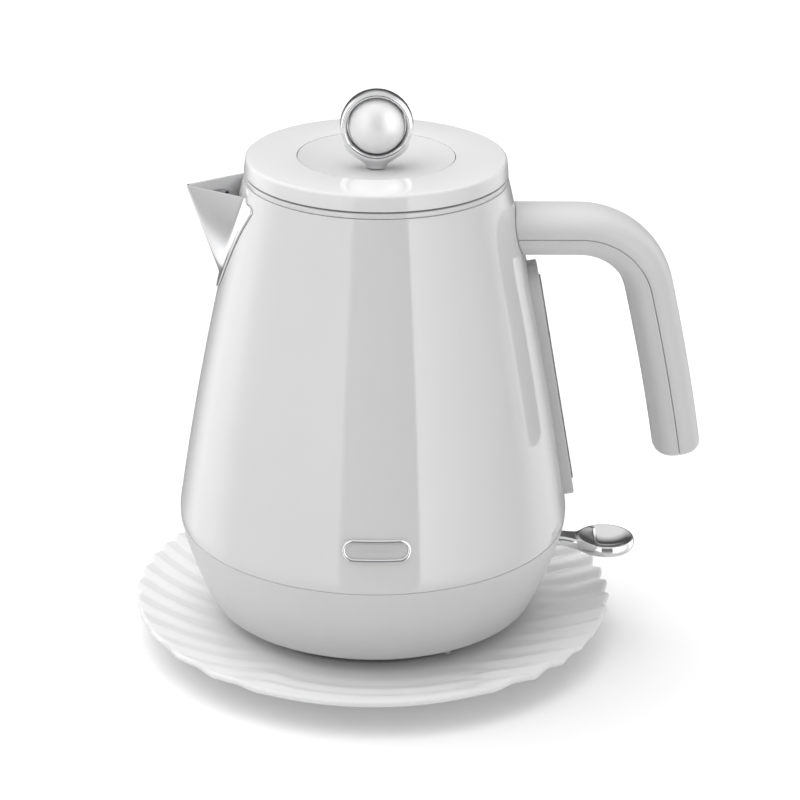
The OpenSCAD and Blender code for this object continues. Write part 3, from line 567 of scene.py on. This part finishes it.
def make_lid():
    side_in = 0.7
    cover = rounded([
        (LID_R - 2.2, LID_LOW, 0.3), (LID_R, LID_LOW, 0.35), (LID_R - side_in, LID_TOP, 1.6),
        (DISC_R + 0.25, LID_TOP, 0.3), (DISC_R + 0.25, DISC_SEAT), (DISC_R - 2, DISC_SEAT),
        (DISC_R - 2, DISC_SEAT - 1.6), (LID_R - 2.8, DISC_SEAT - 1.6, 0.3)], 6)
    # The lid top takes the lighter copy of the white paint, as painted light on its up-facing top.
    piece("lid_top", *lathe(raised(cover), 288), LIT_LID_PAINT, "lid", "lid_gloss", ["lid_cover"])
    edge = 0.3
    rs = spread(1.6, DISC_R - edge, 28)
    disc = ([(r, dish_h(r)) for r in rs]
            + [(DISC_R - edge * 0.3, dish_h(DISC_R) - edge * 0.25), (DISC_R, dish_h(DISC_R) - edge)]
            + [(DISC_R, DISC_SEAT + 0.02), (DISC_R - 2.1, DISC_SEAT + 0.02)]
            + [(r, dish_h(r) - 2) for r in reversed(rs[:-2])])
    piece("lid_dish", *lathe(raised(disc)), DISC, "lid", "satin_plastic", ["lid_disc"])
    under = DISC_SEAT - 1.6
    plug = rounded([
        (1.7, PLUG_LOW), (PLUG_R, PLUG_LOW, 1.6), (PLUG_R, 147, 0.2), (PLUG_R - 1, 147),
        (PLUG_R - 1, 149), (PLUG_R, 149, 0.2), (PLUG_R, COLLAR_TOP + 0.1, 0.2),
        (LID_R - 2.9, COLLAR_TOP + 0.1, 0.4), (LID_R - 2.9, COLLAR_TOP + 2, 0.3),
        (PLUG_R, COLLAR_TOP + 2), (PLUG_R, under), (PLUG_R - 2.5, under),
        (PLUG_R - 2.5, PLUG_LOW + 2, 1), (1.7, PLUG_LOW + 2)])
    piece("lid_cup", *lathe(raised(plug), 192), GREY, "lid", "grey_plastic", ["lid_plug"])
    seal = rounded([(PLUG_R - 1, 147.1), (COLLAR_IN - 0.1, 147.6, 0.35),
                    (COLLAR_IN - 0.1, 148.4, 0.35), (PLUG_R - 1, 148.9)])
    piece("lid_gasket", *lathe(raised(seal), 192), RUBBER, "lid", "silicone", ["lid_seal"])


def knob_shape(x, y, z):
    """The knob's ring with its stem, as a distance from the ring's middle plane outwards."""
    rho = np.sqrt(x * x + z * z)
    width = (KNOB_R - BALL_R) / 2
    out = np.sqrt(((rho - BALL_R - width) / width) ** 2 + (y / (KNOB_DEPTH / 2)) ** 2)
    ring = (out - 1) * width * 0.8
    drop = -z
    flare = np.clip((17.6 - drop) / 7.9, 0, 1)
    flare = flare * flare * (3 - 2 * flare)
    half_x = 4.2 + 7.6 * flare
    half_y = 3.9 + 0.5 * flare
    stem = (np.sqrt((np.abs(x) / half_x) ** 2.2 + (np.abs(y) / half_y) ** 2.2) - 1) * half_y * 0.8
    stem = soft_max(stem, drop - 18.0, 0.6)
    stem = np.maximum(stem, 9.0 - drop)
    shape = soft_min(ring, stem, 2.2)
    return soft_max(shape, BALL_R + 0.12 - rho, 0.5)


def make_knob():
    points, faces = implicit(knob_shape, (-16, -6, -19.5), (16, 6, 16), 0.42)
    verts = [(x, y, SEAM_Z + KNOB_H + z) for x, y, z in points]
    piece("knob_hoop", verts, faces, HOOP, "lid", "chrome_trim", ["knob_ring"], sharp=60)
    half, band, turns = 9.0, 2.5, 24
    dome = half - band / 2
    angles = [math.pi / 2 * i / turns for i in range(1, turns + 1)]
    front = [(BALL_R * math.sin(a), -band / 2 - dome * math.cos(a)) for a in angles]
    turned = [(0, -half)] + front + [(r, -w) for r, w in reversed(front)] + [(0, half)]
    verts, faces = lathe([(r * 0.992, w) for r, w in turned], 128)
    verts = [(x, z, SEAM_Z + KNOB_H + y) for x, y, z in verts]
    piece("knob_globe", verts, faces, BALL, "lid", "chrome_trim", ["knob_ball"])


# ---------- Handle ----------

def grip_curve(n_arm=4, n_bend=28, n_leg=24):
    """Stations along the handle's centre line: (x, h, angle of its outward direction)."""
    bend_h = ARM_H - BEND_R
    out = [(x, ARM_H, 90.0) for x in spread(70, BEND_X, n_arm)[:-1]]
    out += [(BEND_X + BEND_R * math.cos(math.radians(a)), bend_h + BEND_R * math.sin(math.radians(a)), a)
            for a in spread(90, BEND_END, n_bend)]
    cx = BEND_X + (BEND_R - LEG_R) * math.cos(math.radians(BEND_END))
    ch = bend_h + (BEND_R - LEG_R) * math.sin(math.radians(BEND_END))
    out += [(cx + LEG_R * math.cos(math.radians(a)), ch + LEG_R * math.sin(math.radians(a)), a)
            for a in spread(BEND_END, LEG_END, n_leg)[1:]]
    return out


def half_section(side, inset):
    """Half of the grip's rounded oval, softened where it meets the parting line."""
    power, soft = 2.35, 0.4
    a, b = GRIP_T / 2 - inset, GRIP_W / 2 - inset
    gap = 0.0 if side > 0 else PARTING
    depths = [0, 0.03, 0.08, 0.16, 0.27, 0.4, 0.7, 1.2] + spread(1.9, a * 0.9, 10)
    depths += [a * (0.9 + 0.1 * t) for t in (0.3, 0.55, 0.75, 0.88, 0.96, 0.99)]
    run = []
    for d in depths:
        y = b * max(0.0, 1 - ((d + gap) / a) ** power) ** (1 / power) if d + gap < a else 0.0
        if d < soft:
            y -= soft - math.sqrt(soft ** 2 - (soft - d) ** 2)
        run.append(((d + gap) * side, y))
    run.append((a * side, 0.0))
    flat = [(gap * side, y) for y in spread(0, run[0][1], 4)[1:-1]]
    right = flat + run
    return right + [(q, -y) for q, y in reversed(right[:-1])] + [(gap * side, 0.0)]


def make_grip(name, side, node):
    round_end = 1.3
    rings = []
    stations = grip_curve()
    first = half_section(side, 0)
    for inset, off in ((2.4, 0.1), (0.5, 0.1), (0.2, 0.18), (0.05, 0.35), (0, 0.6)):
        ring = []
        for q, y in half_section(side, inset):
            h = ARM_H + q
            ring.append((math.sqrt((body_r(h) + off) ** 2 - y * y), y, SEAM_Z + h))
        rings.append(ring)
    for x, h, a in stations:
        c, s = math.cos(math.radians(a)), math.sin(math.radians(a))
        rings.append([(x + q * c, y, SEAM_Z + h + q * s) for q, y in first])
    x, h, a = stations[-1]
    c, s = math.cos(math.radians(a)), math.sin(math.radians(a))
    rings.pop()
    for t in spread(0, 90, 7):
        inset = round_end * (1 - math.cos(math.radians(t))) * 0.8
        back = round_end * (1 - math.sin(math.radians(t)))
        px, ph = x - s * back, h + c * back
        rings.append([(px + q * c, y, SEAM_Z + ph + q * s) for q, y in half_section(side, inset)])
    cols = len(rings[0])
    faces = grid_faces(len(rings), cols, False, True)
    faces += [tuple(range(cols)), tuple(range((len(rings) - 1) * cols, len(rings) * cols))]
    verts = [p for ring in rings for p in ring]
    piece(name, verts, faces, SATIN, "kettle", "satin_plastic", [node], sharp=50)


# ---------- Water gauge ----------

def gauge_point(x, y, z):
    """From the gauge's own frame, X out of the body and Z up along it, to the row frame."""
    c, s = math.cos(math.radians(GAUGE_TILT)), math.sin(math.radians(GAUGE_TILT))
    return (GAUGE_X + x * c - z * s, y, SEAM_Z + GAUGE_H + x * s + z * c)


def gauge_on_body(y, z, off):
    """The gauge-frame x at which a line along X meets the body."""
    low, high = -14.0, 4.0
    for _ in range(26):
        mid = (low + high) / 2
        px, py, pz = gauge_point(mid, y, z)
        if math.hypot(px, py) < body_r(pz - SEAM_Z) + off:
            low = mid
        else:
            high = mid
    return low


def make_gauge():
    wall = (GAUGE_W - WINDOW_W) / 2 - 0.1
    profile = [(0, None), (0, -0.8), (0.1, -0.4), (0.32, -0.14), (0.7, -0.02), (1.1, 0), (wall - 0.35, 0),
               (wall - 0.1, -0.1), (wall, -0.35), (wall, -2.5), (wall, None)]
    rings = []
    for d, x in profile:
        ring = []
        for z, y in stadium(GAUGE_L - 2 * d, GAUGE_W - 2 * d, 24):
            ring.append(gauge_point(gauge_on_body(y, z, 0.02) if x is None else x, y, z))
        rings.append(ring)
    cols = len(rings[0])
    piece("gauge_casing", [p for ring in rings for p in ring], grid_faces(len(rings), cols, True, True),
          GAUGE, "kettle", "satin_plastic", ["gauge_housing"])
    lens = [(0.0, -2.4), (0.0, 0.2), (0.1, 0.45), (0.3, 0.62), (0.6, 0.7), (1.5, 0.7)]
    inner = [(2.5, -0.7), (2.5, -2.4)]
    rings = [[gauge_point(x, y, z) for z, y in stadium(WINDOW_L - 2 * d, WINDOW_W - 2 * d, 24)]
             for d, x in lens + inner]
    faces = [f for f in grid_faces(len(rings), cols, True, True)
             if not (len(lens) - 1) * cols <= f[0] < len(lens) * cols]
    faces += [tuple(range((len(lens) - 1) * cols, len(lens) * cols)),
              tuple(range(len(lens) * cols, (len(lens) + 1) * cols))]
    piece("gauge_lens", [p for ring in rings for p in ring], faces, CLEAR, "kettle", "clear_window",
          ["gauge_window"])


# ---------- Bottom housing and switch ----------

def make_bowl():
    cx = bowl_r(CORNER_DEPTH) - CORNER_R * math.cos(math.radians(CORNER_ANGLE))
    ch = -CORNER_DEPTH + CORNER_R * math.sin(math.radians(CORNER_ANGLE))
    outer = [(bowl_r(0) - 0.35, -0.02), (bowl_r(0) - 0.1, -0.1), (bowl_r(0.35), -0.35)]
    outer += [(bowl_r(d), -d) for d in spread(1, CORNER_DEPTH, 26)]
    outer += arc(cx, ch, CORNER_R, -CORNER_ANGLE, -83, 16)[1:]
    inner = arc(cx, ch, CORNER_R - HOUSING_T, -60, -CORNER_ANGLE, 6)
    inner += [(bowl_r(d, HOUSING_T), -d) for d in spread(CORNER_DEPTH, 8, 8)[1:]]
    low = [(LIP_IN, -BOWL_DEPTH + 0.2), (LIP_IN, -BOWL_DEPTH + LIP_T), (64.5, -BOWL_DEPTH + LIP_T)]
    top = [(77, -6), (77, 0.4), (SEAM_R - WALL - 0.2, 0.4), (SEAM_R - WALL - 0.2, -0.02)]
    obj = piece("bowl", *lathe(raised(outer + low + inner + top), 288), BOWL, "kettle",
                "satin_plastic", ["bottom_housing"])
    z0, z1 = PIVOT_Z - 4, PIVOT_Z + 5
    half = SLOT_HALF
    slot = rounded([(-half, z0, 1.6), (half, z0, 1.6), (half, z1, 1.6), (-half, z1, 1.6)])
    cut(obj, *prism_x(slot, 71, 90))


def lever_shape(x, y, z):
    """The switch lever: a thumb dish in a rounded rim, a blade neck and a hub, blended."""
    hx, hz = x - HEAD_X, z - HEAD_Z
    rho = np.sqrt(hx * hx + y * y)
    rim = np.sqrt((rho - (HEAD_R - 2.75)) ** 2 + (hz * 2.75 / (HEAD_T / 2)) ** 2) - 2.75
    disc = np.maximum(rho - (HEAD_R - 2.6), np.abs(hz + 0.75) - 2.1)
    head = soft_min(rim, disc, 0.5)
    ball = np.sqrt(hx * hx + y * y + (hz - 22.4) ** 2)
    head = soft_max(head, 23.0 - ball + 0.15 * np.maximum(rho - DIP_R, 0), 0.35)
    t = np.clip((x - 82.0) / 13.0, 0, 1)
    half_y = 4.2 + 4.6 * t ** 2.2
    fall = np.clip((x - 80.0) / 13.0, 0, 1)
    fall = fall * fall * (3 - 2 * fall)
    top = 42.1 - 1.5 * fall
    low = 37.9 - 2.0 * fall
    neck = soft_max(np.abs(y) - half_y, np.abs(z - (top + low) / 2) - (top - low) / 2, 1.3)
    neck = soft_max(neck, np.maximum(x - 97.0, PIVOT_X - x), 0.6)
    shape = soft_min(head, neck, 1.6)
    hub = soft_max(np.sqrt((x - PIVOT_X) ** 2 + (z - PIVOT_Z) ** 2) - 3.6, np.abs(y) - 5.75, 0.5)
    tail = soft_max(np.maximum(53.0 - x, x - 71.0),
                    soft_max(np.abs(y) - 3.2, np.abs(z - 39.45) - 1.25, 0.5), 0.5)
    shape = soft_min(soft_min(shape, hub, 0.8), tail, 0.6)
    return soft_max(shape, PIVOT_R + 0.05 - np.sqrt((x - PIVOT_X) ** 2 + (z - PIVOT_Z) ** 2), 0.1)


def make_lever():
    points, faces = implicit(lever_shape, (51, -13.5, 33.5), (116, 13.5, 44.5), 0.42)
    piece("thumb_lever", points, faces, CHROME, "switch", "chrome_trim", ["switch_lever"], sharp=60)


def make_underside():
    z0 = SEAM_Z - BOWL_DEPTH + LIP_T
    outline = rounded([
        (19.7, RECESS_Z, 0.4), (RECESS_R, RECESS_Z, 0.6), (RECESS_R, z0, 0.5), (64, z0),
        (64, z0 + 2), (RECESS_R + 2, z0 + 2), (RECESS_R + 2, RECESS_Z + 2, 0.6), (19.7, RECESS_Z + 2)])
    piece("recess_cover", *lathe(outline, 192), SATIN, "kettle", "satin_plastic", ["bottom_cover"])


# ---------- Power base ----------

def ripple(x, y):
    """Leaning ripples at both sides, fanned out on the left, and two folds along the front rim."""
    r = max(1.0, math.hypot(x, y))
    c = x / r
    fan = -0.006 * max(0.0, y + 100) * max(0.0, -x - 62)
    p = 2 * math.pi * (y + 8.5 + fan) / PITCH
    share = 0.8 + 0.2 * max(-1.0, min(1.0, 3 * c))
    if y > 0:
        return share * (math.cos(p) - 0.35 * math.sin(2 * p))
    share *= smooth(0.3, 0.7, abs(c))
    turn = math.degrees(math.asin(c))
    fold = 0.4 * (1 - smooth(0.35, 0.75, abs(c))) * math.cos(2 * math.pi * (r - 0.07 * turn - 86) / 11)
    return share * (math.cos(p) - 0.35 * math.sin(2 * p)) + fold


def plate_top(r, a):
    rise = (max(0.0, r - FLOOR_R) / (PLATE_R - FLOOR_R)) ** 2
    return FLOOR_Z + (RIM_Z - FLOOR_Z) * rise + RIPPLE_H * smooth(66, 90, r) * ripple(
        r * math.cos(a), r * math.sin(a))


def make_plate():
    segments = 720
    edge = 1.1
    verts, rows = [], []
    shares = spread(0, 1, 40)
    for share in shares:
        rows.append(("top", share))
    rows += [("turn", t) for t in (25, 50, 75, 100, 130, 160)]
    rows += [("under", FLOOR_R + 6), ("low", HOLE_R)]
    for kind, value in rows:
        for i in range(segments):
            a = 2 * math.pi * i / segments
            c, s = math.cos(a), math.sin(a)
            wave = ripple(PLATE_R * c, PLATE_R * s)
            rim = PLATE_R + 0.7 * abs(c) * wave - edge
            top = plate_top(PLATE_R, a)
            if kind == "top":
                r = HOLE_R + (rim - HOLE_R) * value
                z = plate_top(min(r, PLATE_R), a) if value < 1 else plate_top(rim, a)
            elif kind == "turn":
                t = math.radians(value)
                r = rim + edge * math.sin(t)
                z = plate_top(rim, a) - RIM_T / 2 * (1 - math.cos(t))
            elif kind == "under":
                r, z = value, FLOOR_Z - FLOOR_T + 0.2
            else:
                r, z = value, FLOOR_Z - FLOOR_T
            verts.append((r * c, r * s, z))
    piece("rippled_plate", verts, grid_faces(len(rows), segments, True, True), PLATE, "power_base",
          "gloss_paint", ["base_plate"], sharp=60)


def make_deck():
    outline = rounded([
        (POST_R + 0.1, DECK_TOP - 2), (DECK_R - 2, DECK_TOP - 2), (DECK_R - 2, FLOOR_Z - FLOOR_T),
        (HOLE_R - 0.1, FLOOR_Z - FLOOR_T), (HOLE_R - 0.1, FLOOR_Z, 0.3), (DECK_R, FLOOR_Z, 0.5),
        (DECK_R, DECK_TOP, 1.2), (POST_R + 0.1, DECK_TOP, 0.2)])
    piece("deck", *lathe(outline), SATIN, "power_base", "satin_plastic", ["base_deck"])
    ring = rounded([(POST_R + 0.3, DECK_TOP + 0.05), (19.2, DECK_TOP + 0.05, 0.2), (19.2, 22.9, 0.6),
                    (POST_R + 0.3, 22.9, 0.4)])
    piece("shutter", *lathe(ring, 128), SATIN, "swivel_ring", "satin_plastic", ["shutter_ring"])


# ---------- Carried CAD nodes ----------

def dress_nodes():
    """Gives each CAD node that stays its own finish; the filter frame's black is painted shade, for the
    dark inside the spout's mouth.
    """
    finishes = {
        # The filter frame is black as painted shade: it stands for the darkness inside the spout's mouth.
        "filter_frame": BLACK, "filter_mesh": STEEL, "knob_screw": STEEL, "handle_bracket": STEEL,
        "handle_screws": STEEL, "grip_screws": STEEL, "gauge_seal": RUBBER, "cover_screws": STEEL,
        "kettle_socket": BLACK, "kettle_contacts": BRASS, "heater_plate": STEEL, "heater_element": CAST,
        "heater_seal": RUBBER, "bimetal_disc": BRASS, "control_body": BLACK, "steam_tube": GREY,
        "trip_lever": GREY, "lever_pin": STEEL, "base_cover": SATIN, "base_feet": RUBBER,
        "base_screws": STEEL, "connector_post": BLACK, "post_contacts": BRASS, "cord_gland": GREY}
    for name, material in finishes.items():
        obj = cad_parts[name]
        obj.data.materials.clear()
        obj.data.materials.append(material)


# ---------- Stage ----------

def make_floor():
    size, z = 6.0, -0.0002
    mesh = bpy.data.meshes.new("floor")
    corners = [(-size, -size, z), (size, -size, z), (size, size, z), (-size, size, z)]
    mesh.from_pydata(corners, [], [(0, 1, 2, 3)])
    floor = bpy.data.objects.new("floor", mesh)
    bpy.context.scene.collection.objects.link(floor)
    material, nodes, shader, coords = new_material("floor_white")
    tinted(nodes, shader, (0.76, 0.76, 0.76), 0.005, nodes.noise(coords, 3.0))
    shader.inputs["Roughness"].default_value = 0.9
    shader.inputs["Specular IOR Level"].default_value = 0.1
    shader.inputs["Emission Color"].default_value = (1, 1, 1, 1)
    shader.inputs["Emission Strength"].default_value = 0.12
    mesh.materials.append(material)
    floor.visible_glossy = False


def ramp(nodes, value, stops, scale):
    """A curve through (position, level) stops, as a number."""
    node = nodes.add("ShaderNodeValToRGB")
    elements = node.color_ramp.elements
    while len(elements) > 1:
        elements.remove(elements[-1])
    elements[0].position = stops[0][0]
    for position, _ in stops[1:]:
        elements.new(position)
    for element, (_, level) in zip(elements, stops):
        element.color = [level / scale] * 3 + [1]
    nodes.link(value, node.inputs["Fac"])
    return nodes.math("MULTIPLY", node.outputs["Color"], scale)


def make_world():
    """White surroundings; what gloss sees are two tall soft boxes with a gap before the camera."""
    world = bpy.data.worlds.new("studio")
    bpy.context.scene.world = world
    world.use_nodes = True
    tree = world.node_tree
    tree.nodes.clear()
    nodes = Nodes(tree)
    direction = nodes.add("ShaderNodeTexCoord").outputs["Generated"]
    split = nodes.add("ShaderNodeSeparateXYZ")
    nodes.link(direction, split.inputs[0])
    x, y, z = split.outputs
    azimuth = nodes.math("ARCTAN2", x, nodes.math("MULTIPLY", y, -1.0))
    turn = nodes.math("MULTIPLY_ADD", azimuth, 1 / (2 * math.pi), 0.5)
    steps = [(-180, 0.1), (-150, 0.12), (-130, 2.0), (-108, 2.0), (-92, 0.75), (-84, 0.6), (-50, 1.35),
             (-20.3, 2.2), (-19.3, 0.25), (25.2, 0.25), (26.2, 3.9), (60, 2.4), (95, 1.0), (112, 2.2),
             (130, 2.2), (150, 0.12), (180, 0.1)]
    sides = ramp(nodes, turn, [((a + 180) / 360, level) for a, level in steps], 4.0)
    height = nodes.math("MULTIPLY_ADD", nodes.math("ARCSINE", z), 1 / math.pi, 0.5)
    up = ramp(nodes, height, [(0.62, 0.0), (0.76, 1.0)], 1.0)
    down = ramp(nodes, height, [(0.25, 1.0), (0.46, 0.0)], 1.0)

    def blend(a, b, share):
        other = nodes.math("MULTIPLY_ADD", share, -1.0, 1.0)
        return nodes.math("MULTIPLY_ADD", a, other, nodes.math("MULTIPLY", b, share))

    gloss = blend(blend(sides, 1.05, up), 0.82, down)
    aim = Vector((-0.3, 0.22, 0.9)).normalized()
    dot = nodes.math("MULTIPLY", x, aim.x)
    dot = nodes.math("MULTIPLY_ADD", y, aim.y, dot)
    dot = nodes.math("MULTIPLY_ADD", z, aim.z, dot)
    glow = nodes.math("POWER", nodes.math("MAXIMUM", dot, 0.0), 4.0)
    soft = nodes.math("MULTIPLY_ADD", glow, 3.5, 0.72)
    path = nodes.add("ShaderNodeLightPath")
    seen = blend(soft, gloss, path.outputs["Is Glossy Ray"])
    level = blend(seen, 1.0, path.outputs["Is Camera Ray"])
    light = nodes.add("ShaderNodeBackground")
    nodes.link(level, light.inputs["Strength"])
    out = nodes.add("ShaderNodeOutputWorld")
    nodes.link(light.outputs[0], out.inputs["Surface"])
    world.cycles.sampling_method = "NONE"
    bpy.context.scene.view_settings.view_transform = "Standard"


def make_camera():
    """The photograph's viewpoint, with its slight roll."""
    data = bpy.data.cameras.new("camera")
    data.lens, data.sensor_width = 121.27, 36.0
    camera = bpy.data.objects.new("camera", data)
    bpy.context.scene.collection.objects.link(camera)
    camera.location = Vector((-20.44, -1061.47, 550.48)) * MM
    forward = Vector((0.02736, 0.92178, -0.38674))
    camera.rotation_mode = "QUATERNION"
    aim = forward.to_track_quat("-Z", "Y")
    view_axis = Vector((0, 0, 1))
    camera.rotation_quaternion = aim @ Quaternion(view_axis, math.radians(0.770))
    bpy.context.scene.camera = camera


make_camera()
make_floor()
make_world()
make_body()
make_collar()
make_badge()
make_spout()
make_lid()
make_knob()
make_grip("grip_outer", 1, "handle_outer")
make_grip("grip_inner", -1, "handle_inner")
make_gauge()
make_bowl()
make_lever()
make_underside()
make_plate()
make_deck()
dress_nodes()
